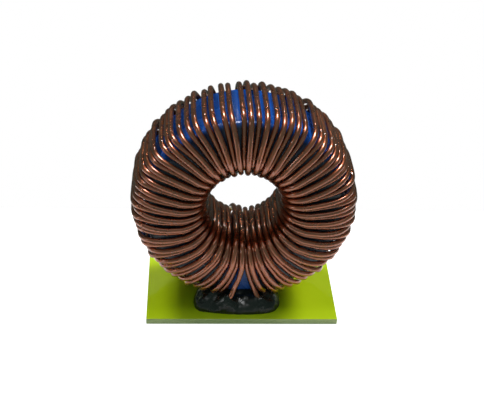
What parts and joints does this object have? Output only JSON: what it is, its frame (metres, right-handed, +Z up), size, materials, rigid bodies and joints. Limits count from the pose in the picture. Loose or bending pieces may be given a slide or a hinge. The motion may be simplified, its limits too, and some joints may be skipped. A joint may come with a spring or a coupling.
{
  "type": "toroidal inductor",
  "caption": "Wire-wound toroidal choke standing on edge on a flat laminate base plate, held by a mound of black potting compound.",
  "frame": {"origin": "middle of the base plate's underside, straight below the middle of the ring", "axes": "+Z up from the plate; the ring's axis runs along Y, and -Y is the side on which the wire's first end runs down; +X along the plate's long side"},
  "size_m": [0.0534, 0.031, 0.0543],
  "materials": {
    "core_coating": "blue epoxy coating on pressed powder, satin",
    "enamelled_wire": "clear reddish-brown enamel on copper, very glossy",
    "laminate": "bare glass-filled epoxy laminate, satin faces and sawn edges",
    "compound": "cured epoxy compound, smooth and wet-looking"
  },
  "bodies": {
    "root": {"core": "core_coating", "winding": "enamelled_wire", "base_plate": "laminate", "potting": "compound"}
  },
  "joints": []
}
